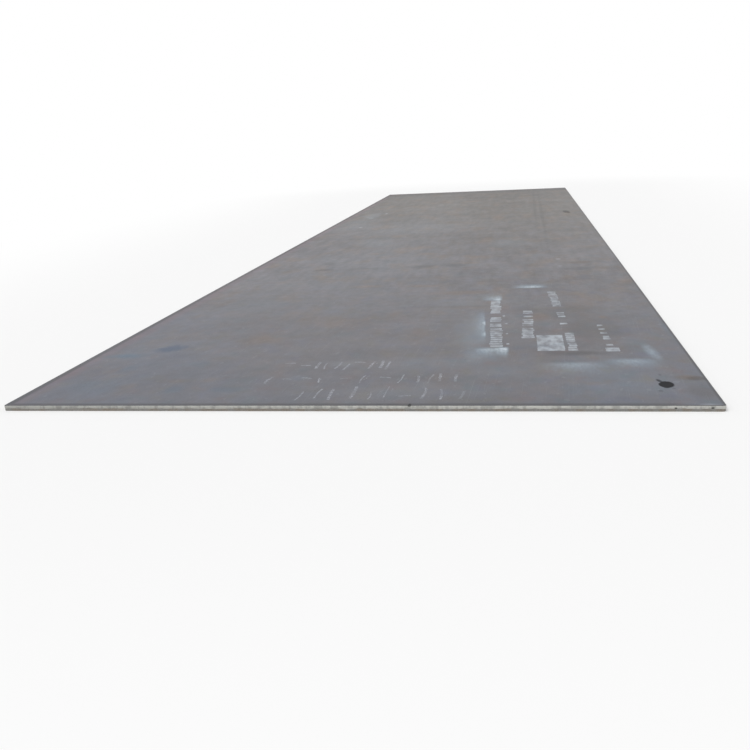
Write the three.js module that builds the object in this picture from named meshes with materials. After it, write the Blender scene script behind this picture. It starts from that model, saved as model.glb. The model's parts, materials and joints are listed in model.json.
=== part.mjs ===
// A hot-rolled steel plate, cut to its size by a plate shear. It is one solid and lies flat.
//
// Frame: millimetres, +Z up. The origin is the middle of the bottom face. X runs across the
// plate's width and Y along its length.
//
// The two rolled faces are flat and parallel. All four edges have the section that a plate
// shear leaves, which is the same all the way round:
//   - the top arris is drawn down into a smooth rollover as the blade bites,
//   - below it the blade wipes a bright, upright land,
//   - and the rest of the thickness tears off. The tear falls away from the land over a small
//     ledge and then slopes back by the gap between the two blades.

import * as THREE from 'three';

// Driving dimensions.
const PLATE_WIDTH = 2000;
const PLATE_LENGTH = 8000;
const PLATE_THICKNESS = 16;
const CORNER_RADIUS = 10; // the corners in plan, which handling has dulled

// The sheared edge.
const ROLLOVER_WIDTH = 2.5; // how far in along the top face the arris is drawn down
const ROLLOVER_DEPTH = 1; // and how far down
const BLADE_PENETRATION = 0.45; // the share of the thickness that the blade wipes before it tears
const TEAR_LEDGE = 0.35; // how far in the tear falls away just under the land
const BLADE_GAP = 1; // how far in the tear has sloped at the bottom face

// Facets.
const CORNER_STEPS = 8;
const ROLLOVER_STEPS = 6;
const TEAR_STEPS = 8;

// Mill scale: the dark blue-grey oxide of hot rolling.
const MILL_SCALE = new THREE.MeshStandardMaterial({
  name: 'mill_scale',
  color: new THREE.Color(0.205, 0.205, 0.22),
  roughness: 0.6,
  metalness: 0.55,
  flatShading: true,
});

// The heights at which the sheared edge changes, from the bottom face up.
const LAND_TOP = PLATE_THICKNESS - ROLLOVER_DEPTH;
const LAND_BOTTOM = LAND_TOP - BLADE_PENETRATION * PLATE_THICKNESS;

// The edge's section, from the bottom face up: x is how far in from the land a point lies,
// and y is its height.
function edgeSection() {
  const tear = new THREE.CubicBezierCurve(
    new THREE.Vector2(BLADE_GAP, 0),
    new THREE.Vector2(TEAR_LEDGE, LAND_BOTTOM / 3),
    new THREE.Vector2(BLADE_GAP, LAND_BOTTOM),
    new THREE.Vector2(0, LAND_BOTTOM),
  );
  const rollover = new THREE.EllipseCurve(
    ROLLOVER_WIDTH, LAND_TOP, ROLLOVER_WIDTH, ROLLOVER_DEPTH, Math.PI, Math.PI / 2, true,
  );
  return [...tear.getPoints(TEAR_STEPS), ...rollover.getPoints(ROLLOVER_STEPS)];
}

// The plate's outline in plan, drawn in by `inset` all round and run anticlockwise. Every
// outline has the same number of points, so that any two can be joined by a band of faces.
function planOutline(inset) {
  const x = PLATE_WIDTH / 2 - CORNER_RADIUS;
  const y = PLATE_LENGTH / 2 - CORNER_RADIUS;
  const corners = [[x, y], [-x, y], [-x, -y], [x, -y]];
  const quarter = Math.PI / 2;
  return corners.flatMap(([centreX, centreY], i) => {
    const radius = CORNER_RADIUS - inset;
    const arc = new THREE.EllipseCurve(
      centreX, centreY, radius, radius, i * quarter, (i + 1) * quarter,
    );
    return arc.getPoints(CORNER_STEPS);
  });
}

// Lofts the outlines up the section, and closes the loft with the two rolled faces.
function plateGeometry() {
  const section = edgeSection();
  const outlines = section.map((point) => planOutline(point.x));
  const around = outlines[0].length;
  const positions = outlines.flatMap((outline, level) =>
    outline.flatMap((point) => [point.x, point.y, section[level].y]));

  const faces = [];
  for (let level = 0; level + 1 < outlines.length; level += 1) {
    for (let i = 0; i < around; i += 1) {
      const next = (i + 1) % around;
      const [low, lowNext] = [level * around + i, level * around + next];
      const [high, highNext] = [low + around, lowNext + around];
      faces.push(low, lowNext, highNext, low, highNext, high);
    }
  }

  const top = (outlines.length - 1) * around;
  for (const [a, b, c] of THREE.ShapeUtils.triangulateShape(outlines[0], [])) {
    faces.push(a, c, b);
  }
  for (const [a, b, c] of THREE.ShapeUtils.triangulateShape(outlines.at(-1), [])) {
    faces.push(top + a, top + b, top + c);
  }

  const geometry = new THREE.BufferGeometry();
  geometry.setAttribute('position', new THREE.Float32BufferAttribute(positions, 3));
  geometry.setIndex(faces);
  geometry.computeVertexNormals();
  return geometry;
}

const plate = new THREE.Mesh(plateGeometry(), MILL_SCALE);
plate.name = 'steel_plate';

const model = new THREE.Group();
model.add(plate);

export default model;
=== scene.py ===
"""A hot-rolled steel plate with mill scale on its faces and sheared edges, flat on a pale floor.

Lengths are metres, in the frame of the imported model: X across the plate, Y along it, +Z up.
"""

import json
import math
import random

import bpy
import numpy as np
from mathutils import Matrix, Vector, noise

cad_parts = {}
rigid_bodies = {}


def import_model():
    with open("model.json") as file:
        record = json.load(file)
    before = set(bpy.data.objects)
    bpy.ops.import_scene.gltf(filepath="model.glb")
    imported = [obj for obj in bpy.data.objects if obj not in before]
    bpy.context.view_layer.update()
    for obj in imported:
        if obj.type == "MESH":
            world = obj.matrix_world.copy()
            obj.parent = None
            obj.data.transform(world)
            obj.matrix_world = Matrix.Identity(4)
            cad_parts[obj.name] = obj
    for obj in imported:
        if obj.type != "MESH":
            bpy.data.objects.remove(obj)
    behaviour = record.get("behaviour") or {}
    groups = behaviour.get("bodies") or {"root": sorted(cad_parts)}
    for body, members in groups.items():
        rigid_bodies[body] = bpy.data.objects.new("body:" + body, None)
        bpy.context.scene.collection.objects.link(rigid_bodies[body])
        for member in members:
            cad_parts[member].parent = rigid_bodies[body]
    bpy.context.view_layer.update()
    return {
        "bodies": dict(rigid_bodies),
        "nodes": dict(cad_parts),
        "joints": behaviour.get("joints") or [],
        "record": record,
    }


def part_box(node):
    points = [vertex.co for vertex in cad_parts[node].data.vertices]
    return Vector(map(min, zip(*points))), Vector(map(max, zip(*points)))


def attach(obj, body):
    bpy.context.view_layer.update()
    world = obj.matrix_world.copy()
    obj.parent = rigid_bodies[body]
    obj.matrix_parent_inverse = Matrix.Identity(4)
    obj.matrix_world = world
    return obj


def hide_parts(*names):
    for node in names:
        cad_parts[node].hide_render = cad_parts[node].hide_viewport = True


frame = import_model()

MM = 0.001

# -------- sizes from the frame

NODE = "steel_plate"
SOLID = np.array([v.co for v in frame["nodes"][NODE].data.vertices])
HALF_WIDTH, HALF_LENGTH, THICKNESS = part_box(NODE)[1]
TOUCH = 0.01 * MM  # a vertex this near a face's plane lies on it
ON_LAND = SOLID[SOLID[:, 0] > HALF_WIDTH - TOUCH]
LAND_BOTTOM, LAND_TOP = ON_LAND[:, 2].min(), ON_LAND[:, 2].max()
CORNER_RADIUS = HALF_LENGTH - ON_LAND[:, 1].max()
ROLLOVER_WIDTH = HALF_WIDTH - SOLID[SOLID[:, 2] > THICKNESS - TOUCH][:, 0].max()
ROLLOVER_DEPTH = THICKNESS - LAND_TOP
BLADE_GAP = HALF_WIDTH - SOLID[SOLID[:, 2] < TOUCH][:, 0].max()
TEAR_LEDGE = 0.35 * MM  # how far in the tear falls away just under the land


def added(name, data):
    """A new object in the scene."""
    thing = bpy.data.objects.new(name, data)
    bpy.context.scene.collection.objects.link(thing)
    return thing


def heading(degrees):
    """The direction turned this far from X towards Y."""
    turn = math.radians(degrees)
    return np.array([math.cos(turn), math.sin(turn)])

# -------- the plate's mesh

NEAR_SPACING = 2.5 * MM  # between stations along the near end, which the camera is close to
SPACING = 5 * MM  # and along the other edges
CORNER_STEPS = 12
TEAR_LEVELS = 7
LAND_LEVELS = 3
ROLLOVER_LEVELS = 5
BRIGHT_ROLLOVER_LEVELS = 3  # the bands under this many of its rings are as bright as the land
SHARP = math.radians(40)  # faces that meet at more than this have a hard edge between them
RIM = 20 * MM  # the faces are one grid inside this rim, which joins it to the fine edge
GRID_CELL = 0.25

# The ripples of the land's lower line: how high, how long, and where in the noise they are.
LAND_RIPPLES = [(1.1 * MM, 160 * MM, 1), (1.3 * MM, 38 * MM, 2), (0.9 * MM, 9 * MM, 3)]
LAND_LINE = (3.5 * MM, 11.5 * MM)  # the least and the most height that the line has
# Where these ripples rise over this share of their height, the land runs down as a tongue.
TONGUES = (7 * MM, 55 * MM, 4)
TONGUE_SHARE = 0.35
TEAR_AT_FOOT = 0.4  # the share of the tear's roughness that its lowest ring has
DRAG = 0.06 * MM  # how far in the land's foot lies on average
UNEVEN_ROLLOVER = 0.25  # the share by which the rollover's width comes and goes

# Nicks in the near end's edge: place across the plate, width, depth inward, height.
NICKS = [
    (0.190, 13 * MM, 1.8 * MM, 15.5 * MM),
    (0.876, 10 * MM, 1.2 * MM, 9.0 * MM),
    (0.966, 11 * MM, 1.8 * MM, 9.5 * MM),
]
NICK_RISE = 2.5 * MM  # how far up and down from its middle a nick reaches
NICK_SHADE_REACH = (25 * MM, 3.5 * MM)  # how far inward, and how far up and down, a nick's painted shade reaches
FACES_NEAR = -0.99  # a normal's Y is less than this along the near end

SCALE, LAND, TEAR = range(3)  # the plate's material slots

# The plate's bake map, in steps of its side: where each strip of it starts and how high it is.
MAP_STEPS = 1024
MAP_MARGIN = 4
MAP_STRIPS = {
    "near": (4, 32), "far": (40, 14), "left": (58, 14), "right": (76, 14),
    "bottom": (94, 84), "top near": (182, 414), "top far": (600, 414),
}


def ripple(places, wavelength, offset):
    """Smooth noise between -1 and 1 at each place, with features about wavelength long."""
    return np.array([noise.noise(Vector((x, y, 0)) / wavelength + Vector((0, 0, offset)))
                     for x, y in places])


def rippled(level, places, ripples):
    """The level at each place, with ripples given as height, wavelength and offset."""
    for height, wavelength, offset in ripples:
        level = level + height * ripple(places, wavelength, offset)
    return level


def bezier(a, b, c, d, t):
    """The cubic Bezier curve through a and d with control values b and c."""
    s = 1 - t
    return a * s**3 + 3 * b * s * s * t + 3 * c * s * t * t + d * t**3


def perimeter():
    """Stations round the plate, anticlockwise: places on the land, their outward normals, and
    the map strip that each runs along with its shares of that strip, from there to the next."""
    x, y = HALF_WIDTH - CORNER_RADIUS, HALF_LENGTH - CORNER_RADIUS
    sides = [  # the strip, where the side starts, the way it faces, its length, its spacing
        ("near", (-x, -y), -90, 2 * x, NEAR_SPACING),
        ("right", (x, -y), 0, 2 * y, SPACING),
        ("far", (x, y), 90, 2 * x, SPACING),
        ("left", (-x, y), 180, 2 * y, SPACING),
    ]
    places, normals, strips = [], [], []
    for name, start, facing, length, spacing in sides:
        outward = heading(facing)
        along = np.array([-outward[1], outward[0]])
        count = round(length / spacing)
        for i in range(count):
            places.append(start + outward * CORNER_RADIUS + along * length * i / count)
            normals.append(outward)
        for i in range(CORNER_STEPS):
            normal = heading(facing + 90 * i / CORNER_STEPS)
            places.append(start + along * length + normal * CORNER_RADIUS)
            normals.append(normal)
        steps = count + CORNER_STEPS
        strips += [(name, i / steps, (i + 1) / steps) for i in range(steps)]
    return np.array(places), np.array(normals), strips


def land_line(places):
    """The height of the land's lower line at each place."""
    line = rippled(LAND_BOTTOM, places, LAND_RIPPLES)
    depth, wavelength, offset = TONGUES
    tongues = np.clip(ripple(places, wavelength, offset) - TONGUE_SHARE, 0, None)
    return np.clip(line - depth * tongues, *LAND_LINE)


def nick_depths(places, normals):
    """How deep the nicks are at each place, and at what height they are deepest."""
    depths = np.zeros(len(places))
    heights = np.full(len(places), THICKNESS / 2)
    near_end = normals[:, 1] < FACES_NEAR
    for across, width, depth, height in NICKS:
        bite = np.clip(1 - ((places[:, 0] - across) / (width / 2)) ** 2, 0, None) * near_end
        depths = np.maximum(depths, depth * bite)
        heights[bite > 0] = height
    return depths, heights


def edge_rings(places, normals):
    """Rings of points up the sheared edge, from the bottom face to the top, with the material
    of the band of faces under each ring."""
    land_bottom = land_line(places)
    depths, deepest_at = nick_depths(places, normals)

    def ring(inset, height):
        reach = np.exp(-(((height - deepest_at) / NICK_RISE) ** 2))
        inset = np.clip(inset, 0, None) + depths * reach
        return np.column_stack([places - normals * inset[:, None], height])

    rings, materials = [], []
    for level in range(TEAR_LEVELS):
        t = level / TEAR_LEVELS
        height = bezier(0, 1 / 3, 1, 1, t) * land_bottom
        ripples = [(0.3 * MM, 7 * MM, 10 + 0.8 * level), (0.18 * MM, 24 * MM, 30 + 0.4 * level)]
        rough = rippled(0, places, ripples) * (1 if level else TEAR_AT_FOOT)
        rings.append(ring(bezier(BLADE_GAP, TEAR_LEDGE, BLADE_GAP, 0, t) + rough, height))
        materials.append(TEAR)
    for level in range(LAND_LEVELS):
        t = level / LAND_LEVELS
        height = land_bottom + t * (LAND_TOP - land_bottom)
        drag = DRAG * (1 + ripple(places, 30 * MM, 50 + 0.2 * level))
        rings.append(ring(drag * (1 - t), height))
        materials.append(LAND if level else TEAR)
    width = ROLLOVER_WIDTH * (1 + UNEVEN_ROLLOVER * ripple(places, 90 * MM, 60))
    for level in range(ROLLOVER_LEVELS + 1):
        turn = level / ROLLOVER_LEVELS * math.pi / 2
        height = LAND_TOP + ROLLOVER_DEPTH * math.sin(turn)
        rings.append(ring(width * (1 - math.cos(turn)), np.full(len(places), height)))
        materials.append(LAND if level < BRIGHT_ROLLOVER_LEVELS else SCALE)
    return rings, materials


def zip_rims(fine, coarse, points):
    """Triangles between two closed loops of vertex numbers that run the same way."""
    def share(loop):
        steps = np.linalg.norm(points[np.roll(loop, -1)] - points[loop], axis=1)
        run = np.concatenate([[0], np.cumsum(steps)])
        return run / run[-1]

    triangles, a, b = [], 0, 0
    at_fine, at_coarse = share(fine), share(coarse)
    while a < len(fine) or b < len(coarse):
        here, there = fine[a % len(fine)], coarse[b % len(coarse)]
        if b == len(coarse) or (a < len(fine) and at_fine[a + 1] <= at_coarse[b + 1]):
            triangles.append((here, fine[(a + 1) % len(fine)], there))
            a += 1
        else:
            triangles.append((here, coarse[(b + 1) % len(coarse)], there))
            b += 1
    return triangles


def face_grid(first, height):
    """The inside of a rolled face: its points, its cells, and its rim run anticlockwise."""
    x, y = HALF_WIDTH - RIM, HALF_LENGTH - RIM
    columns = round(2 * x / GRID_CELL)
    rows = round(2 * y / GRID_CELL)
    points = [(-x + 2 * x * i / columns, -y + 2 * y * j / rows, height)
              for j in range(rows + 1) for i in range(columns + 1)]

    def at(i, j):
        return first + j * (columns + 1) + i

    cells = [(at(i, j), at(i + 1, j), at(i + 1, j + 1), at(i, j + 1))
             for j in range(rows) for i in range(columns)]
    rim = [at(i, 0) for i in range(columns)] + [at(columns, j) for j in range(rows)]
    rim += [at(i, rows) for i in range(columns, 0, -1)] + [at(0, j) for j in range(rows, 0, -1)]
    return points, cells, np.array(rim)


def on_map(strip, along, up):
    """The place in the plate's bake map that lies these shares along and up a strip."""
    first, height = MAP_STRIPS[strip]
    width = MAP_STEPS - 2 * MAP_MARGIN
    return (MAP_MARGIN + along * width) / MAP_STEPS, (first + up * height) / MAP_STEPS


def face_on_map(corners, is_top):
    """A rolled face's cell on the map. The top face is cut into a near and a far half."""
    across, along = (corners[:, 0] / HALF_WIDTH + 1) / 2, corners[:, 1] / HALF_LENGTH
    if not is_top:
        strip, along = "bottom", (along + 1) / 2
    elif along.mean() < 0:
        strip, along = "top near", along + 1
    else:
        strip = "top far"
    return [on_map(strip, *at) for at in zip(along, across)]


def plate_mesh():
    """One closed mesh: the sheared edge's bands, and a grid with a zipped rim on each face."""
    places, normals, strips = perimeter()
    rings, ring_materials = edge_rings(places, normals)
    around, bands = len(places), len(rings) - 1
    points = [tuple(p) for ring in rings for p in ring]
    faces, materials, unwrapped = [], [], []
    for level in range(1, len(rings)):
        low, high = (level - 1) * around, level * around
        for i, (strip, here, there) in enumerate(strips):
            j = (i + 1) % around
            faces.append((low + i, low + j, high + j, high + i))
            materials.append(ring_materials[level])
            below, above = (level - 1) / bands, level / bands
            unwrapped += [on_map(strip, here, below), on_map(strip, there, below),
                          on_map(strip, there, above), on_map(strip, here, above)]
    for height, ring, is_top in ((0.0, 0, False), (THICKNESS, bands, True)):
        grid, cells, rim = face_grid(len(points), height)
        points += grid
        placed = np.array(points)
        fine = np.arange(around) + ring * around
        for face in zip_rims(fine, rim, placed) + cells:
            face = face if is_top else face[::-1]
            faces.append(face)
            materials.append(SCALE)
            unwrapped += face_on_map(placed[list(face)], is_top)
    mesh = bpy.data.meshes.new("plate")
    mesh.from_pydata(points, [], faces)
    mesh.polygons.foreach_set("material_index", materials)
    bake_map = mesh.uv_layers.new(name="OFBake")
    bake_map.uv.foreach_set("vector", np.array(unwrapped, dtype=np.float32).ravel())
    mesh.shade_smooth()
    mesh.set_sharp_from_angle(angle=SHARP)
    mesh.validate()
    return mesh


# -------- marks on the top face

# Every mark is placed by how far across the plate it is and how far from the near end.
NEAR_END = -HALF_LENGTH
FILM = 0.08 * MM  # the most that paint and chalk stand proud of the plate
THINNEST = 0.5  # every mark stands proud by more than this share of that
SUNK = 0.02 * MM  # how far they reach into it, so that they meet it without a gap

# Columns of plain stencilled bars: the middle's place at the near and the far end of the
# column, the bars' length across the plate, and the share of them that took the paint.
STENCILS = [
    ((0.405, 0.650), (0.400, 0.905), 46 * MM, 0.95),
    ((0.398, 0.955), (0.394, 1.125), 46 * MM, 0.95),
    ((0.391, 1.195), (0.386, 1.430), 44 * MM, 0.90),
    ((0.512, 0.770), (0.513, 0.905), 46 * MM, 0.95),
    ((0.513, 0.960), (0.515, 1.240), 42 * MM, 0.80),
    ((0.516, 1.280), (0.520, 1.430), 44 * MM, 0.40),
    ((0.643, 0.980), (0.638, 1.200), 30 * MM, 0.60),
    ((0.632, 1.310), (0.622, 1.610), 38 * MM, 0.95),
    ((0.655, 0.590), (0.654, 0.820), 32 * MM, 0.90),
    ((0.776, 0.650), (0.768, 0.940), 24 * MM, 0.60),
    ((0.778, 0.575), (0.778, 0.600), 44 * MM, 0.95),
]
STENCIL_PITCH = 30 * MM
STROKE = 24 * MM
PAINT_PATCH = ((0.585, 0.690), (88 * MM, 220 * MM))  # a plain patch: its middle, and its size
DOTS = [(0.424, 1.130), (0.434, 0.995), (0.439, 0.830), (0.444, 0.680)]
DOT_SIZE = (9 * MM, 16 * MM)
WORN = 1.1 * MM  # how far the paint's edge strays
WORN_STEP = 4 * MM  # between two points of that edge

# Rows of chalk ticks: where a row starts and ends across the plate, how far from the near end
# the feet and the tops of its ticks are, and the least gap between two ticks.
CHALK_ROWS = [
    (-0.270, 0.100, 0.365, 0.520, 18 * MM),
    (-0.275, 0.310, 0.210, 0.325, 30 * MM),
    (-0.140, 0.345, 0.050, 0.165, 30 * MM),
]
TICK_SHARE = 0.75  # the rest of the strokes are dashes
DASH = 35 * MM
LEAN = 10 * MM  # the most that a tick's top lies aside, or that a dash's end lies up or down
FOOT_STRAYS = 20 * MM  # the most that a foot lies further on than its row's feet
HALF_STROKE = (2 * MM, 5.5 * MM)  # half a stroke's width, at least and at most
BOW = 4 * MM  # the most that a stroke bends aside
CHALK_STEP = 6 * MM  # between two points of a stroke's edge
MOST_CRUMBS = 3  # beside one stroke
CRUMB_REACH = 14 * MM  # the most that they lie from it, across the plate and along it
CRUMB_CORNERS = 7


def bar(across, from_end, length, width, rng):
    """A rectangle with worn edges."""
    sides = [(length, 1, 0), (width, 0, 1), (length, -1, 0), (width, 0, -1)]
    x, y = across - length / 2, NEAR_END + from_end - width / 2
    outline = []
    for size, right, up in sides:
        steps = max(2, round(size / WORN_STEP))
        outline += [(x + right * size * i / steps, y + up * size * i / steps) for i in range(steps)]
        x, y = x + right * size, y + up * size
    return [(x + rng.uniform(-WORN, WORN), y + rng.uniform(-WORN, WORN)) for x, y in outline]


def crumb(x, y, length, width, rng):
    """A small irregular chip of chalk."""
    turn = rng.uniform(0, math.tau)
    outline = []
    for i in range(CRUMB_CORNERS):
        angle = math.tau * i / CRUMB_CORNERS
        reach = rng.uniform(0.35, 0.5)
        along, aside = length * reach * math.cos(angle), width * reach * math.sin(angle)
        outline.append((x + along * math.cos(turn) - aside * math.sin(turn),
                        y + along * math.sin(turn) + aside * math.cos(turn)))
    return outline


def stencil_outlines():
    """The columns of bars, and the plain patch and dots beside them."""
    rng = random.Random(11)
    outlines = []
    for near, far, length, share in STENCILS:
        rows = round((far[1] - near[1]) / STENCIL_PITCH)
        for row in range(rows + 1):
            at = row / rows
            across = near[0] + at * (far[0] - near[0])
            from_end = near[1] + at * (far[1] - near[1])
            if rng.random() < share:
                part = length * rng.uniform(0.8, 1)
                across += rng.uniform(-0.5, 0.5) * (length - part)
                outlines.append(bar(across, from_end, part, STROKE, rng))
    middle, size = PAINT_PATCH
    outlines.append(bar(*middle, *size, rng))
    outlines += [bar(*dot, *DOT_SIZE, rng) for dot in DOTS]
    return outlines


def chalk_strokes():
    """Plain ticks and dashes in rows: the start and the end of each stroke."""
    rng = random.Random(5)
    strokes = []
    for left, right, foot, top, gap in CHALK_ROWS:
        across = left
        while across < right:
            low = NEAR_END + foot + rng.uniform(0, FOOT_STRAYS)
            high = low + (top - foot) * rng.uniform(0.45, 1)
            lean = rng.uniform(-LEAN, LEAN)
            if rng.random() < TICK_SHARE:
                strokes.append(((across, low), (across + lean, high)))
                across += rng.uniform(1, 2) * gap
            else:
                middle = (low + high) / 2
                strokes.append(((across, middle), (across + DASH, middle + lean)))
                across += DASH + rng.uniform(0.8, 1.5) * gap
    return strokes


def chalk_outlines():
    """Every stroke as a ribbon with torn edges, and a few crumbs beside it."""
    rng = random.Random(6)
    outlines = []
    for start, end in chalk_strokes():
        length = math.dist(start, end)
        right, up = (end[0] - start[0]) / length, (end[1] - start[1]) / length
        steps = max(3, round(length / CHALK_STEP))
        half, bow = rng.uniform(*HALF_STROKE), rng.uniform(-BOW, BOW)
        sides = []
        for side in (-1, 1):
            edge = []
            for step in range(steps + 1):
                at = step / steps
                aside = side * half * rng.uniform(0.6, 1.2) + bow * math.sin(math.pi * at)
                edge.append((start[0] + at * length * right - aside * up,
                             start[1] + at * length * up + aside * right))
            sides.append(edge)
        outlines.append(sides[0] + sides[1][::-1])
        for _ in range(rng.randint(0, MOST_CRUMBS)):
            at = rng.random()
            x = start[0] + at * length * right + rng.uniform(-CRUMB_REACH, CRUMB_REACH)
            y = start[1] + at * length * up + rng.uniform(-CRUMB_REACH, CRUMB_REACH)
            outlines.append(crumb(x, y, rng.uniform(4, 9) * MM, rng.uniform(3, 6) * MM, rng))
    return outlines


def film_mesh(name, outlines):
    """Thin closed slabs on the top face, one for each outline. No two are as thick as each
    other, so where two marks cross, one lies on the other."""
    points, faces = [], []
    for number, outline in enumerate(outlines):
        proud = FILM * (THINNEST + (1 - THINNEST) * (number + 1) / len(outlines))
        count, low = len(outline), len(points)
        high = low + count
        points += [(x, y, THICKNESS - SUNK) for x, y in outline]
        points += [(x, y, THICKNESS + proud) for x, y in outline]
        faces.append(range(high - 1, low - 1, -1))
        faces.append(range(high, high + count))
        for i in range(count):
            j = (i + 1) % count
            faces.append((low + i, low + j, high + j, high + i))
    mesh = bpy.data.meshes.new(name)
    mesh.from_pydata(points, [], [tuple(face) for face in faces])
    mesh.validate()
    return mesh


# -------- shader helpers

NOISE_RANGE = (0.3, 0.7)  # nearly all of a noise's values lie between these
STAIN_SPAN = 2  # a stain's frame is this many times its size, which leaves its edge room to wobble


def srgb(red, green, blue):
    """A colour given as 0 to 255 steps of a picture, as the linear light it stands for."""
    return [((c / 255 + 0.055) / 1.055) ** 2.4 for c in (red, green, blue)]


class Shader:
    """A Principled material, with short calls that add its nodes and wire them up. Every node
    is made after those that feed it: in another order Cycles runs out of room for them."""

    def __init__(self, name, metallic, specular):
        self.material = bpy.data.materials.new(name)
        self.material.use_nodes = True
        self.nodes = self.material.node_tree.nodes
        self.links = self.material.node_tree.links
        self.surface = self.nodes["Principled BSDF"]
        self.surface.inputs["Metallic"].default_value = metallic
        self.surface.inputs["Specular IOR Level"].default_value = specular
        self.place = self.nodes.new("ShaderNodeTexCoord").outputs["Object"]
        apart = self.nodes.new("ShaderNodeSeparateXYZ")
        self.links.new(self.place, apart.inputs[0])
        self.x, self.y, self.z = apart.outputs

    def feed(self, socket, value):
        """Gives an input another node's output, or a number or colour of its own."""
        if isinstance(value, bpy.types.NodeSocket):
            self.links.new(value, socket)
        elif isinstance(value, (list, tuple)) and socket.type == "RGBA":
            socket.default_value = (*value, 1)
        else:
            socket.default_value = value

    def math(self, operation, *values):
        """The result of one operation of a Math node."""
        node = self.nodes.new("ShaderNodeMath")
        node.operation = operation
        for socket, value in zip(node.inputs, values):
            self.feed(socket, value)
        return node.outputs[0]

    def most(self, *values):
        """The largest of these values."""
        largest = values[0]
        for value in values[1:]:
            largest = self.math("MAXIMUM", largest, value)
        return largest

    def from_near_end(self):
        """How far a place is from the near end."""
        return self.math("ADD", self.y, HALF_LENGTH)

    def sway(self, value, width):
        """Noise stretched to this width and moved to lie around 0."""
        return self.math("MULTIPLY_ADD", value, width, -width / 2)

    def seen_from(self, middle, turn, size):
        """Places measured from this middle, in a frame turned by so many degrees and in steps
        of this size along each of its axes."""
        node = self.nodes.new("ShaderNodeMapping")
        node.vector_type = "TEXTURE"
        self.feed(node.inputs["Vector"], self.place)
        node.inputs["Location"].default_value = middle
        node.inputs["Rotation"].default_value = (0, 0, math.radians(turn))
        node.inputs["Scale"].default_value = size
        return node.outputs[0]

    def noise(self, size, detail=3, shift=0.0, rough=0.5, turn=0):
        """Noise around 0.5, with features of this size along X, Y and Z. The shift says where
        in the noise it is taken."""
        sizes = size if isinstance(size, tuple) else (size,) * 3
        frame = self.seen_from([-shift * step for step in sizes], turn, sizes)
        node = self.nodes.new("ShaderNodeTexNoise")
        self.feed(node.inputs["Vector"], frame)
        node.inputs["Scale"].default_value = 1
        node.inputs["Detail"].default_value = detail
        node.inputs["Roughness"].default_value = rough
        return node.outputs[0]

    def nearness(self, middle, turn, size):
        """1 at this middle, falling evenly to 0 at this size away from it."""
        frame = self.seen_from(middle, turn, size)
        node = self.nodes.new("ShaderNodeTexGradient")
        node.gradient_type = "SPHERICAL"
        self.feed(node.inputs["Vector"], frame)
        return node.outputs[1]

    def fit(self, value, low, high, to_low=0.0, to_high=1.0, smooth=True):
        """value taken from low..high to to_low..to_high, and held at the ends."""
        node = self.nodes.new("ShaderNodeMapRange")
        node.interpolation_type = "SMOOTHSTEP" if smooth else "LINEAR"
        for socket, given in zip(node.inputs, (value, low, high, to_low, to_high)):
            self.feed(socket, given)
        return node.outputs[0]

    def mix(self, share, first, second):
        """The first colour, with this share of the second one over it."""
        node = self.nodes.new("ShaderNodeMix")
        node.data_type = "RGBA"
        self.feed(node.inputs[0], share)
        self.feed(node.inputs[6], first)
        self.feed(node.inputs[7], second)
        return node.outputs[2]

    def mix_value(self, share, first, second):
        """The same for two numbers."""
        node = self.nodes.new("ShaderNodeMix")
        for socket, value in zip(node.inputs, (share, None, first, second)):
            if value is not None:
                self.feed(socket, value)
        return node.outputs[0]

    def times(self, colour, *factors):
        """The colour made lighter or darker by each factor in turn."""
        for factor in factors:
            node = self.nodes.new("ShaderNodeVectorMath")
            node.operation = "SCALE"
            self.feed(node.inputs["Vector"], colour)
            self.feed(node.inputs["Scale"], factor)
            colour = node.outputs["Vector"]
        return colour

    def tone(self, value, spread):
        """A factor that runs from 1 - spread to 1 + spread with the noise."""
        darkest, lightest = self.math("SUBTRACT", 1, spread), self.math("ADD", 1, spread)
        return self.fit(value, *NOISE_RANGE, darkest, lightest, smooth=False)

    def stains(self, marks, wobble, soft):
        """How deep the stains in the top face are: each fades over this share of its size to
        an edge that wobbles."""
        edge = self.math("ADD", wobble, STAIN_SPAN)
        deepest = 0.0
        for across, from_end, turn, length, width, strength in marks:
            middle = (across, NEAR_END + from_end, THICKNESS)
            span = (STAIN_SPAN * length, STAIN_SPAN * width, THICKNESS)
            near = self.nearness(middle, turn, span)
            away = self.math("MULTIPLY_ADD", near, -STAIN_SPAN, edge)
            deepest = self.most(self.fit(away, 1 - soft, 1, strength, 0), deepest)
        return deepest

    def nick_shade(self):
        """How dark the painted shade in the nicks of the near end's edge is."""
        shaded = 0.0
        for across, width, _, height in NICKS:
            near = self.nearness((across, NEAR_END, height), 0, (width / 2, *NICK_SHADE_REACH))
            shaded = self.most(self.fit(near, 0, 0.6, 0, 0.75), shaded)
        return shaded

    def along(self, start, turn, size):
        """How far from the start a place is in the direction turn, in steps of this size."""
        right, up = heading(turn) / size
        offset = -start[0] * right - start[1] * up
        up_part = self.math("MULTIPLY_ADD", self.y, up, offset)
        return self.math("MULTIPLY_ADD", self.x, right, up_part)

    def oversprays(self, sprays, uneven):
        """Paint dust beside the edges of stencil cards: it starts at a card's edge, thins out
        unevenly away from it over its reach, and fades to both ends. The bottom face has none."""
        uneven = self.sway(uneven, 0.34)
        dust = 0.0
        for across, from_end, turn, half, reach, strength, thickest, blur in sprays:
            middle = (across, NEAR_END + from_end)
            along = self.along(middle, turn, half)
            away = self.along(middle, turn + 90, reach)
            card = self.fit(away, 0, blur)
            ends = self.math("MULTIPLY", self.fit(along, -1, thickest),
                             self.fit(along, thickest, 1, strength, 0))
            away = self.math("ADD", away, uneven)
            thins = self.math("POWER", self.fit(away, 0.2, 1, 1, 0, smooth=False), 1.7)
            one = self.math("MULTIPLY", self.math("MULTIPLY", ends, thins), card)
            dust = self.most(one, dust)
        return self.math("MULTIPLY", dust, self.fit(self.z, 0, THICKNESS))

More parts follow.
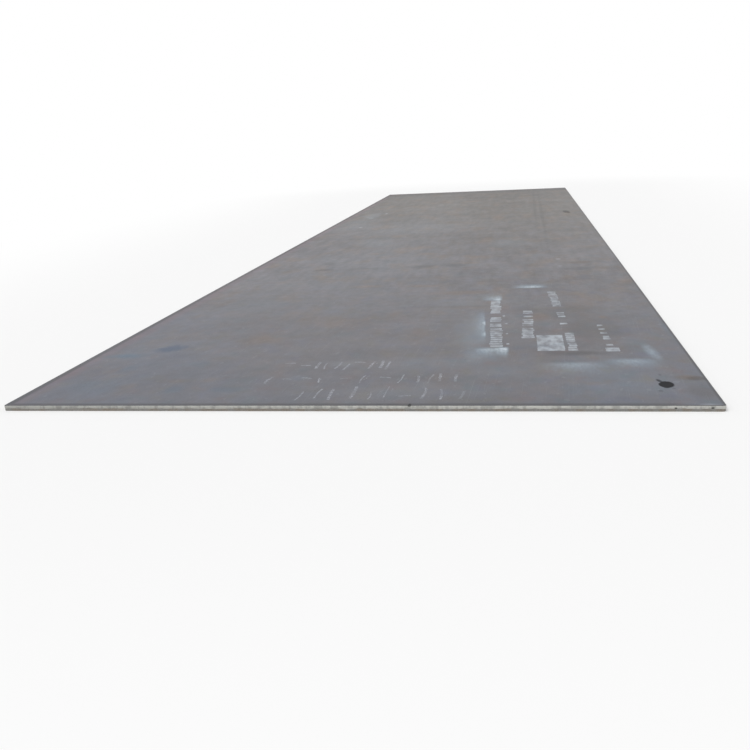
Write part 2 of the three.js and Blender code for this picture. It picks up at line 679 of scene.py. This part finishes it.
    def scratches(self, directions):
        """1 in fine scratches."""
        drawn = 0.0
        for turn, length, width, sparse in directions:
            grain = self.noise((length, width, 1), detail=1, turn=turn)
            drawn = self.most(self.fit(grain, sparse, sparse + 0.05), drawn)
        return drawn

    def bump(self, height, depth):
        """Relief that stands depth high where height is 1."""
        node = self.nodes.new("ShaderNodeBump")
        node.inputs["Distance"].default_value = depth
        self.feed(node.inputs["Height"], height)
        return node.outputs[0]

    def finish(self, colour, roughness, normal=None):
        """The finished material."""
        self.feed(self.surface.inputs["Base Color"], colour)
        self.feed(self.surface.inputs["Roughness"], roughness)
        if normal is not None:
            self.feed(self.surface.inputs["Normal"], normal)
        return self.material


# -------- materials

SCALE_METALLIC, SCALE_SPECULAR = 0.45, 0.25
SCALE_BLUE = srgb(101, 104, 114)
SCALE_GREY = srgb(106, 105, 110)
SCALE_WARM = srgb(104, 101, 99)
RUST = srgb(119, 103, 90)
EDGE_RUST = srgb(112, 96, 104)
TEMPER = srgb(84, 101, 117)
TEAL, VIOLET = srgb(88, 106, 113), srgb(94, 98, 119)
OLIVE, ROSE = srgb(108, 106, 94), srgb(115, 99, 99)
PALE_SCALE = srgb(150, 152, 156)
# the dark of oil stains, also used for the painted shade in the nicks
OIL_AND_SHADE = srgb(20, 20, 22)
SMUDGE = srgb(70, 84, 105)
PAINT_DUST = srgb(206, 212, 219)
THIN_DUST = srgb(172, 197, 213)
PAINT = srgb(206, 216, 226)
CHALK = srgb(190, 194, 202)
# a dark colour for pits, streaks and the rim, also used for the painted shade at the far end
DIRT_AND_SHADE = srgb(66, 66, 68)
DULL_LAND, BRIGHT_LAND = srgb(156, 156, 152), srgb(184, 184, 179)
TORN_GREY, TORN_RUSTY = srgb(139, 138, 135), srgb(137, 130, 121)

# The dark rim: how far from the edge it starts to fade, how far from there it is gone, and how
# strong it is. All the edges have the thin one.
THIN_RIM = (1 * MM, 9 * MM, 0.75)
NEAR_RIM = (4 * MM, 24 * MM, 0.65)
LEFT_RIM = (15 * MM, 30 * MM, 0.68)
FAR_RIM = (0.22, 0.60, 0.52)
FAR_SHADE = (0.30, 1.60, 0.18)  # a weaker, broader one under it, which is painted shade

# Marks in the scale: across the plate and from the near end to the mark's middle, its turn in
# degrees, half its length, half its width, and its strength.
OIL_SPOTS = [(0.882, 0.190, 0, 0.0225, 0.036, 0.95)]
OIL_FLECKS = [
    (0.868, 0.228, 105, 0.024, 0.008, 0.70),
    (0.858, 0.130, 0, 0.008, 0.012, 0.22),
    (0.972, 0.250, -14, 0.034, 0.024, 0.18),
    (0.896, 0.154, 20, 0.006, 0.010, 0.20),
    (0.879, 0.290, 0, 0.005, 0.012, 0.20),
    (0.869, 5.190, 5, 0.032, 0.150, 0.40),
]
SMUDGES = [(-0.750, 0.661, 54, 0.080, 0.060, 0.86)]
TEMPER_PATCHES = [
    (-0.880, 0.566, 4, 0.110, 0.056, 0.90),
    (-0.794, 0.382, 0, 0.045, 0.080, 0.40),
    (-0.798, 0.190, 0, 0.110, 0.110, 0.25),
    (-0.554, 0.463, 30, 0.060, 0.060, 0.30),
    (-0.540, 0.163, 0, 0.045, 0.050, 0.35),
    (-0.370, 0.155, 0, 0.085, 0.045, 0.35),
    (0.990, 0.850, 0, 0.030, 0.180, 0.40),
    (0.622, 0.150, 0, 0.060, 0.090, 0.30),
]
RUST_PATCHES = [
    (-0.450, 0.800, 20, 0.130, 0.120, 0.45),
    (-0.704, 0.186, 0, 0.045, 0.050, 0.30),
    (-0.571, 0.249, 0, 0.055, 0.040, 0.30),
    (-0.464, 0.259, 0, 0.040, 0.040, 0.30),
    (0.950, 0.262, -8, 0.060, 0.040, 0.65),
    (0.960, 0.120, 0, 0.060, 0.090, 0.15),
    (0.690, 0.200, 0, 0.040, 0.030, 0.35),
    (0.800, 2.450, 0, 0.120, 0.070, 0.50),
    (-0.812, 6.104, 0, 0.050, 0.110, 0.45),
    (-0.884, 5.139, 0, 0.050, 0.110, 0.40),
    (0.790, 1.082, 0, 0.030, 0.035, 0.60),
    (0.560, 1.120, 10, 0.070, 0.100, 0.50),
    (0.700, 1.260, 0, 0.130, 0.035, 0.50),
    (0.230, 1.640, 0, 0.260, 0.070, 0.40),
    (0.300, 1.310, 0, 0.180, 0.050, 0.35),
    (-0.235, 1.858, 0, 0.090, 0.060, 0.50),
    (0.050, 1.835, 0, 0.160, 0.050, 0.45),
    (0.215, 2.530, 0, 0.100, 0.055, 0.50),
    (-0.370, 2.985, 0, 0.070, 0.070, 0.35),
    (-0.040, 2.920, 0, 0.090, 0.080, 0.45),
    (-0.050, 4.650, 0, 0.170, 0.150, 0.45),
    (0.320, 4.900, 0, 0.070, 0.350, 0.50),
    (0.720, 4.500, 0, 0.070, 0.220, 0.40),
    (0.250, 7.450, 0, 0.500, 0.250, 0.30),
]
DARK_STREAKS = [
    (-0.575, 2.405, 0, 0.120, 0.072, 0.52),
    (-0.585, 2.628, 0, 0.045, 0.060, 0.30),
    (-0.340, 2.420, 0, 0.130, 0.060, 0.28),
    (-0.035, 2.440, 0, 0.100, 0.078, 0.50),
    (0.150, 2.455, 0, 0.120, 0.088, 0.36),
    (0.790, 2.452, -4, 0.150, 0.055, 0.28),
    (0.800, 2.240, 0, 0.170, 0.055, 0.30),
    (0.180, 1.330, 0, 0.240, 0.035, 0.22),
    (0.680, 0.545, 0, 0.120, 0.045, 0.60),
    (0.740, 0.880, 0, 0.150, 0.340, 0.34),
    (0.670, 1.180, 0, 0.230, 0.200, 0.26),
    (0.960, 0.120, 0, 0.070, 0.110, 0.30),
    (0.857, 1.180, 0, 0.040, 0.035, 0.30),
    (0.955, 0.256, -8, 0.065, 0.036, 0.28),
]
ROLL_LINES = [
    (0.668, 5.200, 89.6, 3.200, 0.020, 0.28),
    (0.624, 6.100, 89.5, 2.300, 0.020, 0.28),
]
PALE_STREAKS = [
    (0.691, 2.580, 0, 0.020, 0.035, 0.18),
    (0.690, 2.335, 0, 0.020, 0.030, 0.18),
    (-0.689, 5.600, 0, 0.018, 0.080, 0.28),
    (-0.783, 5.262, 40, 0.030, 0.090, 0.20),
    (-0.737, 4.530, 0, 0.018, 0.070, 0.22),
    (-0.800, 5.450, 84, 0.300, 0.110, 0.09),
    (0.960, 0.012, 0, 0.050, 0.014, 0.18),
]
DUSTED = [
    (-0.800, 5.000, 0, 0.180, 1.100, 0.06),
    (-0.400, 3.500, 0, 0.150, 0.450, 0.06),
    (0.740, 0.230, 0, 0.230, 0.230, 0.04),
    (-0.500, 3.580, 0, 0.220, 0.350, 0.06),
    (0.430, 3.360, 0, 0.250, 0.330, 0.06),
    (0.300, 1.430, 0, 0.300, 0.200, 0.045),
    (0.430, 0.330, 0, 0.150, 0.110, 0.06),
    (-0.400, 2.300, 0, 0.700, 1.500, 0.035),
    (-0.300, 4.300, 0, 0.600, 1.300, 0.035),
    (0.325, 0.830, 0, 0.095, 0.520, 0.11),
    (-0.620, 1.450, 0, 0.220, 0.300, 0.05),
    (-0.250, 1.300, 0, 0.200, 0.250, 0.04),
    (-0.070, 0.435, 0, 0.070, 0.060, 0.07),
    (0.180, 0.430, 0, 0.320, 0.140, 0.05),
    (0.160, 0.130, 0, 0.320, 0.110, 0.05),
    (-0.190, 0.270, 0, 0.060, 0.060, 0.06),
    (0.210, 0.190, 0, 0.060, 0.060, 0.06),
]

# Fine scratches, in three directions: turn in degrees, length, width, and how sparse they are.
SCRATCHES = [
    (87, 0.40, 0.0020, 0.68),
    (71, 0.22, 0.0015, 0.69),
    (-14, 0.18, 0.0018, 0.70),
]

# Paint dust beside the stencil cards: the middle of the card's edge, the way that the edge runs
# in degrees, half the dust's length, its reach away from the card, how thick it is, where along
# the edge it is thickest, from -1 to 1, and the share of the reach over which it sets in.
OVERSPRAYS = [
    (0.363, 1.425, 0, 0.056, 0.210, 0.55, 0.20, 0.30),
    (0.384, 1.425, 0, 0.032, 0.200, 1.00, 0.40, 0.25),
    (0.408, 0.645, 180, 0.044, 0.180, 1.00, -0.65, 0.20),
    (0.385, 0.643, 180, 0.067, 0.200, 0.60, 0.10, 0.20),
    (0.361, 0.960, 92.3, 0.330, 0.060, 0.40, 0.10, 0.15),
    (0.366, 0.830, 92.3, 0.070, 0.030, 0.66, 0, 0.15),
    (0.359, 1.010, 92.3, 0.070, 0.030, 0.90, 0, 0.15),
    (0.530, 1.710, 0, 0.095, 0.140, 0.95, 0.1, 0.30),
    (0.650, 0.455, 180, 0.135, 0.200, 0.43, 0, 0.30),
    (0.820, 0.490, 177, 0.115, 0.180, 0.48, -0.1, 0.30),
]
# Softer puffs of it, given as the marks in the scale are.
PUFFS = [
    (0.893, 0.550, 95, 0.150, 0.028, 0.38),
    (0.345, 0.530, 0, 0.060, 0.130, 0.16),
]


def oxide(shader, clouds):
    """The scale's own colour: blue at the near corners, then grey, and warmer further on, in
    soft clouds."""
    from_end = shader.from_near_end()
    drift = shader.sway(clouds, 3.2)
    inward = shader.math("MULTIPLY_ADD", shader.math("ABSOLUTE", shader.x), -1.2, 0.6)
    inward = shader.math("MULTIPLY_ADD", shader.x, 0.35, inward)
    from_corners = shader.math("ADD", shader.math("ADD", from_end, drift), inward)
    warmer_right = shader.math("MULTIPLY_ADD", shader.x, 0.8, drift)
    colour = shader.mix(shader.fit(from_corners, -0.5, 1.2), SCALE_BLUE, SCALE_GREY)
    grows_warm = shader.fit(shader.math("ADD", from_end, warmer_right), 1.8, 6.5)
    return shader.mix(grows_warm, colour, SCALE_WARM)


def rusted(shader, colour, patchy, blur):
    """Rust bloom, weak all over and stronger in patches, and a tint along the left edge."""
    bloom = shader.math("MULTIPLY", shader.fit(patchy, 0.46, 0.72, 0, 0.5),
                        shader.fit(shader.from_near_end(), 0.1, 1.8, 0.35, 1))
    strong = shader.stains(RUST_PATCHES, blur, soft=0.9)
    colour = shader.mix(shader.most(bloom, strong), colour, RUST)
    to_left = shader.math("ADD", shader.x, HALF_WIDTH)
    tint = shader.math("MULTIPLY", shader.fit(to_left, 10 * MM, 26 * MM),
                       shader.fit(to_left, 28 * MM, 85 * MM, 0.62, 0))
    tint = shader.math("MULTIPLY", tint, shader.fit(patchy, 0.35, 0.6, 0.6, 1))
    return shader.mix(tint, colour, EDGE_RUST)


def tempered(shader, colour, blur):
    """Temper colours: small patches, from teal to violet and from olive to rose, and a few
    larger blue ones."""
    temper = shader.noise((0.075, 0.10, 1), detail=4, shift=71, rough=0.55)
    strength = shader.math("MULTIPLY", shader.fit(shader.from_near_end(), 0.3, 2.4, 1, 0.6),
                           shader.fit(shader.x, -0.3, 0.9, 0.85, 1.4))
    bluer = shader.math("MULTIPLY", shader.fit(temper, 0.50, 0.68, 0, 0.27), strength)
    browner = shader.math("MULTIPLY", shader.fit(temper, 0.32, 0.50, 0.28, 0), strength)
    rosier = shader.fit(shader.noise((0.10, 0.16, 1), shift=77), 0.42, 0.58)
    colour = shader.mix(bluer, colour, shader.mix(rosier, TEAL, VIOLET))
    colour = shader.mix(browner, colour, shader.mix(rosier, OLIVE, ROSE))
    return shader.mix(shader.stains(TEMPER_PATCHES, blur, soft=0.8), colour, TEMPER)


def toned(shader, colour, blotches, mottle):
    """Lighter and darker: a little darker to the right, banded across, blotched, mottled and
    grained, and streaked along the plate further on."""
    from_end = shader.from_near_end()
    bands = shader.noise((1.3, 0.14, 1), detail=4, shift=12)
    streaks = shader.noise((0.045, 0.28, 1), detail=4, shift=24)
    grain = shader.noise((0.0045, 0.0065, 1), shift=61, rough=0.6)
    streaky_further_on = shader.fit(from_end, 0.8, 2.5, 0, 0.12)
    calm_near_by = shader.fit(from_end, 0.5, 2.0, 0.07, 0.12)
    return shader.times(
        colour,
        shader.fit(shader.x, -HALF_WIDTH, HALF_WIDTH, 1.03, 0.97, smooth=False),
        shader.tone(streaks, streaky_further_on),
        shader.tone(bands, 0.05),
        shader.tone(blotches, calm_near_by),
        shader.tone(mottle, calm_near_by),
        shader.tone(grain, 0.07),
    )


def weathered(shader, colour):
    """Dark in its pits, and paler where it has flaked off or drags and slings scratched it."""
    pits = shader.noise((0.007, 0.010, 1), detail=2, shift=51)
    colour = shader.mix(shader.fit(pits, 0.66, 0.72, 0, 0.35), colour, DIRT_AND_SHADE)
    flaked = shader.noise((0.022, 0.040, 1), detail=4, shift=41)
    colour = shader.mix(shader.fit(flaked, 0.64, 0.67, 0, 0.13), colour, PALE_SCALE)
    scratched = shader.math("MULTIPLY", shader.scratches(SCRATCHES), 0.20)
    return shader.mix(scratched, colour, PALE_SCALE)


def dark_rim(shader, mottle):
    """How dark the rim is: thin all round, wider along the left side and along the near end as
    far as its right corner, and soft and broad at the far end, with a weaker, broader band of
    painted shade under it."""
    to_side = shader.math("SUBTRACT", HALF_WIDTH, shader.math("ABSOLUTE", shader.x))
    to_end = shader.math("SUBTRACT", HALF_LENGTH, shader.math("ABSOLUTE", shader.y))
    to_edge = shader.math("MULTIPLY_ADD", mottle, -6 * MM, shader.math("MINIMUM", to_side, to_end))
    to_near = shader.math("MULTIPLY_ADD", mottle, -14 * MM, shader.from_near_end())
    to_left = shader.math("ADD", shader.x, HALF_WIDTH)
    to_far = shader.math("SUBTRACT", HALF_LENGTH, shader.y)
    near = shader.math("MULTIPLY", shader.fit(to_near, *NEAR_RIM, 0),
                       shader.fit(shader.x, 0.85, 0.93, 1, 0))
    # at the far end, a dark band, and under it a broad band of painted shade
    far = shader.most(shader.fit(to_far, *FAR_RIM, 0), shader.fit(to_far, *FAR_SHADE, 0))
    far = shader.math("MULTIPLY", far, shader.fit(shader.x, -0.8, 0.2, 0.7, 1))
    thin, left = shader.fit(to_edge, *THIN_RIM, 0), shader.fit(to_left, *LEFT_RIM, 0)
    return shader.most(thin, far, near, left)


def marked(shader, colour, jitter, wander):
    """Blue smudges, dark streaks, the long lines of the rolls, and pale dust."""
    colour = shader.mix(shader.stains(SMUDGES, jitter, soft=0.65), colour, SMUDGE)
    streaked = shader.most(shader.stains(DARK_STREAKS, wander, soft=0.8),
                           shader.stains(ROLL_LINES, jitter, soft=0.7))
    colour = shader.mix(streaked, colour, DIRT_AND_SHADE)
    colour = shader.mix(shader.stains(PALE_STREAKS, wander, soft=0.8), colour, PAINT_DUST)
    return shader.mix(shader.stains(DUSTED, wander, soft=1), colour, THIN_DUST)


def paint_dust(shader, jitter):
    """How thick the paint dust is."""
    speckle = shader.noise((0.010, 0.030, 1), detail=4, shift=31)
    streaky = shader.noise((0.02, 0.2, 1), shift=33)
    dust = shader.most(shader.oversprays(OVERSPRAYS, streaky),
                       shader.stains(PUFFS, jitter, soft=1))
    return shader.math("MULTIPLY", dust, shader.fit(speckle, 0.3, 0.62, 0.66, 1))


def scale_look(shader):
    """The colour and the roughness of the scale: blue-grey oxide from the rolls, with rust bloom,
    scratches, oil, a dark rim, painted shade at the far end and in the nicks, and paint dust."""
    clouds = shader.noise((0.7, 0.9, 1), detail=4, shift=3)
    colour = oxide(shader, clouds)

    patchy = shader.noise((0.16, 0.34, 1), detail=5, shift=8, rough=0.6)
    blur = shader.sway(patchy, 1.6)
    colour = rusted(shader, colour, patchy, blur)
    colour = tempered(shader, colour, blur)

    blotches = shader.noise((0.12, 0.24, 1), detail=4, shift=21)
    mottle = shader.noise((0.034, 0.050, 1), detail=5, shift=1, rough=0.6)
    colour = toned(shader, colour, blotches, mottle)
    colour = weathered(shader, colour)
    # a dark rim along the edges, with painted shade at the far end
    colour = shader.mix(dark_rim(shader, mottle), colour, DIRT_AND_SHADE)

    jitter, wander = shader.sway(mottle, 0.8), shader.sway(blotches, 1.4)
    colour = marked(shader, colour, jitter, wander)
    dust = paint_dust(shader, jitter)
    bluer_where_thin = shader.mix(dust, THIN_DUST, PAINT_DUST)
    colour = shader.mix(dust, colour, bluer_where_thin)
    # oil stains, and painted shade in the nicks
    oil_and_nick_shade = shader.most(shader.stains(OIL_SPOTS, jitter, soft=0.22),
                       shader.stains(OIL_FLECKS, jitter, soft=0.5), shader.nick_shade())
    colour = shader.mix(oil_and_nick_shade, colour, OIL_AND_SHADE)

    gloss = shader.fit(clouds, *NOISE_RANGE, 0.48, 0.55, smooth=False)
    roughness = shader.mix_value(dust, gloss, 0.8)
    return colour, shader.mix_value(oil_and_nick_shade, roughness, 0.8)


def mill_scale():
    """The rolled faces."""
    shader = Shader("mill_scale", SCALE_METALLIC, SCALE_SPECULAR)
    colour, roughness = scale_look(shader)
    grain = shader.noise(0.003)
    return shader.finish(colour, roughness, shader.bump(grain, depth=0.12 * MM))


def over_scale(name, kept_by, coat_colour, coat_roughness):
    """A worn coat on the scale: kept_by gives the share of it that is left, and its relief."""
    shader = Shader(name, SCALE_METALLIC, SCALE_SPECULAR)
    colour, roughness = scale_look(shader)
    kept, relief = kept_by(shader)
    colour = shader.mix(kept, colour, coat_colour)
    roughness = shader.mix_value(kept, roughness, coat_roughness)
    metallic = shader.fit(kept, 0, 1, SCALE_METALLIC, 0, smooth=False)
    shader.feed(shader.surface.inputs["Metallic"], metallic)
    return shader.finish(colour, roughness, shader.bump(relief, depth=0.1 * MM))


def sheared_land():
    """Bright steel that the blade wiped, dull in places, with painted shade in the nicks."""
    shader = Shader("sheared_land", metallic=0.9, specular=0.5)
    dashes = shader.noise((0.011, 0.011, 0.03), detail=4, shift=4)
    stretches = shader.noise((0.15, 0.15, 1), detail=2, shift=7)
    bright = shader.math("ADD", shader.fit(dashes, 0.34, 0.58),
                         shader.fit(stretches, *NOISE_RANGE, -0.10, 0.15))
    colour = shader.mix(bright, DULL_LAND, BRIGHT_LAND)
    darker_left = shader.fit(shader.x, -HALF_WIDTH, HALF_WIDTH / 2, 0.77, 1, smooth=False)
    colour = shader.times(colour, darker_left)
    # painted shade in the nicks
    colour = shader.mix(shader.nick_shade(), colour, OIL_AND_SHADE)
    drag = shader.noise((0.002, 0.002, 0.03), detail=2)
    return shader.finish(colour, 0.4, shader.bump(drag, depth=0.1 * MM))


def torn_steel():
    """Dull torn steel with a breath of rust."""
    shader = Shader("torn_steel", metallic=0.3, specular=0.3)
    patches = shader.noise(0.03, detail=4)
    colour = shader.mix(shader.fit(patches, 0.4, 0.65), TORN_GREY, TORN_RUSTY)
    speckle = shader.noise(0.004, shift=3)
    colour = shader.times(colour, shader.tone(speckle, 0.15))
    # painted shade in the nicks
    colour = shader.mix(shader.nick_shade(), colour, OIL_AND_SHADE)
    crumbs = shader.noise(0.0015)
    return shader.finish(colour, 0.75, shader.bump(crumbs, depth=0.4 * MM))


def rubbed(shader):
    """Stencil paint, rubbed through to the scale in spots and in whole patches."""
    worn = shader.noise((0.024, 0.045, 1), detail=4, shift=2)
    patches = shader.noise((0.06, 0.16, 1), shift=9)
    kept = shader.math("ADD", shader.fit(worn, *NOISE_RANGE, 0.16, 0.48),
                       shader.fit(patches, 0.32, 0.68, -0.12, 0.14))
    return kept, worn


def powdery(shader):
    """Chalk, which only catches the high spots."""
    powder = shader.noise(0.005, detail=4, shift=5)
    pressed = shader.fit(shader.noise(0.06, detail=1, shift=15), 0.35, 0.65, 0.22, 0.60)
    return shader.fit(powder, 0.36, 0.62, 0.05, pressed), powder


# -------- floor, light and camera

FLOOR_COLOUR = srgb(249, 249, 249)
FLOOR_REACH = 400
FLOOR_FADE = (0.3, 2.6)  # how far from the plate the floor starts to fade, and is white
ROOM_LIGHT = 0.55
WHITE = 1.0  # the strength at which a glow shows as white
LAMP_POWER, LAMP_ANGLE = 1.6, math.radians(50)
LAMP_WAY = Vector((0.35, 0.45, -1))  # the way that its light travels


def seen_rays(nodes, links):
    """1 for the rays that show the white background: the camera's, and those that reach it by
    way of a mirror or glass."""
    path = nodes.new("ShaderNodeLightPath")
    seen = path.outputs["Is Camera Ray"]
    for kind in ("Is Glossy Ray", "Is Transmission Ray"):
        either = nodes.new("ShaderNodeMath")
        either.operation = "MAXIMUM"
        links.new(seen, either.inputs[0])
        links.new(path.outputs[kind], either.inputs[1])
        seen = either.outputs[0]
    return seen


def add_floor():
    """A pale floor that fades to the white background a few metres from the plate."""
    mesh = bpy.data.meshes.new("floor")
    corners = [(-1, -1), (1, -1), (1, 1), (-1, 1)]
    points = [(FLOOR_REACH * x, FLOOR_REACH * y, 0) for x, y in corners]
    mesh.from_pydata(points, [], [(0, 1, 2, 3)])
    floor = added("floor", mesh)
    shader = Shader("floor", metallic=0, specular=0.1)
    squares = 0.0
    for axis, half in ((shader.x, HALF_WIDTH), (shader.y, HALF_LENGTH)):
        beyond = shader.math("SUBTRACT", shader.math("ABSOLUTE", axis), half)
        beyond = shader.most(beyond, 0.0)
        squares = shader.math("MULTIPLY_ADD", beyond, beyond, squares)
    white = shader.fit(shader.math("SQRT", squares), *FLOOR_FADE)
    mesh.materials.append(shader.finish(FLOOR_COLOUR, 0.9))
    nodes, links = shader.nodes, shader.links
    glow = nodes.new("ShaderNodeEmission")
    glow.inputs["Strength"].default_value = WHITE
    mixed = nodes.new("ShaderNodeMixShader")
    links.new(shader.math("MULTIPLY", white, seen_rays(nodes, links)), mixed.inputs[0])
    links.new(shader.surface.outputs[0], mixed.inputs[1])
    links.new(glow.outputs[0], mixed.inputs[2])
    links.new(mixed.outputs[0], nodes["Material Output"].inputs["Surface"])


def add_light():
    """A white room: an even world, and one wide soft lamp from the near left."""
    world = bpy.data.worlds.new("room")
    bpy.context.scene.world = world
    world.use_nodes = True
    nodes, links = world.node_tree.nodes, world.node_tree.links
    background = nodes["Background"]
    background.inputs["Color"].default_value = (1, 1, 1, 1)
    strength = nodes.new("ShaderNodeMapRange")
    strength.inputs["To Min"].default_value = ROOM_LIGHT
    strength.inputs["To Max"].default_value = WHITE
    links.new(seen_rays(nodes, links), strength.inputs["Value"])
    links.new(strength.outputs[0], background.inputs["Strength"])

    lamp = bpy.data.lights.new("soft_lamp", "SUN")
    lamp.energy = LAMP_POWER
    lamp.angle = LAMP_ANGLE
    holder = added("soft_lamp", lamp)
    holder.rotation_euler = LAMP_WAY.to_track_quat("-Z", "Y").to_euler()


# The camera was fitted to the plate's outline in the photograph, and moved a little so that the
# near left corner shows. Its eye is this far to the right of the plate's middle, short of its
# near end and above its top face.
FOCAL_PIXELS, IMAGE_PIXELS = 866.6, 750
EYE = Vector((0.483, -HALF_LENGTH - 2.197, THICKNESS + 0.7105))
YAW, PITCH, ROLL = (math.radians(angle) for angle in (-9.854, 15.636, -3.019))


def add_camera():
    """The photograph's view."""
    forward = Vector((math.sin(YAW) * math.cos(PITCH), math.cos(YAW) * math.cos(PITCH),
                      -math.sin(PITCH)))
    level = forward.cross(Vector((0, 0, 1))).normalized()
    upright = level.cross(forward)
    right = level * math.cos(ROLL) + upright * math.sin(ROLL)
    up = upright * math.cos(ROLL) - level * math.sin(ROLL)
    data = bpy.data.cameras.new("camera")
    data.lens = data.sensor_width * FOCAL_PIXELS / IMAGE_PIXELS
    camera = added("camera", data)
    turn = Matrix((right, up, -forward)).transposed().to_4x4()
    camera.matrix_world = Matrix.Translation(EYE) @ turn
    bpy.context.scene.camera = camera


# -------- making the scene

def add_piece(name, mesh, *materials):
    """A piece that rides with the plate, with these materials."""
    piece = added(name, mesh)
    for material in materials:
        mesh.materials.append(material)
    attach(piece, "root")
    return piece


add_camera()
add_light()
add_floor()

plate = add_piece("plate", plate_mesh(), mill_scale(), sheared_land(), torn_steel())
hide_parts(NODE)
paint = over_scale("worn_paint", rubbed, PAINT, 0.7)
add_piece("stencil_paint", film_mesh("stencil_paint", stencil_outlines()), paint)
chalk = over_scale("chalk", powdery, CHALK, 0.9)
add_piece("chalk_marks", film_mesh("chalk_marks", chalk_outlines()), chalk)

bpy.context.scene.view_settings.view_transform = "Standard"
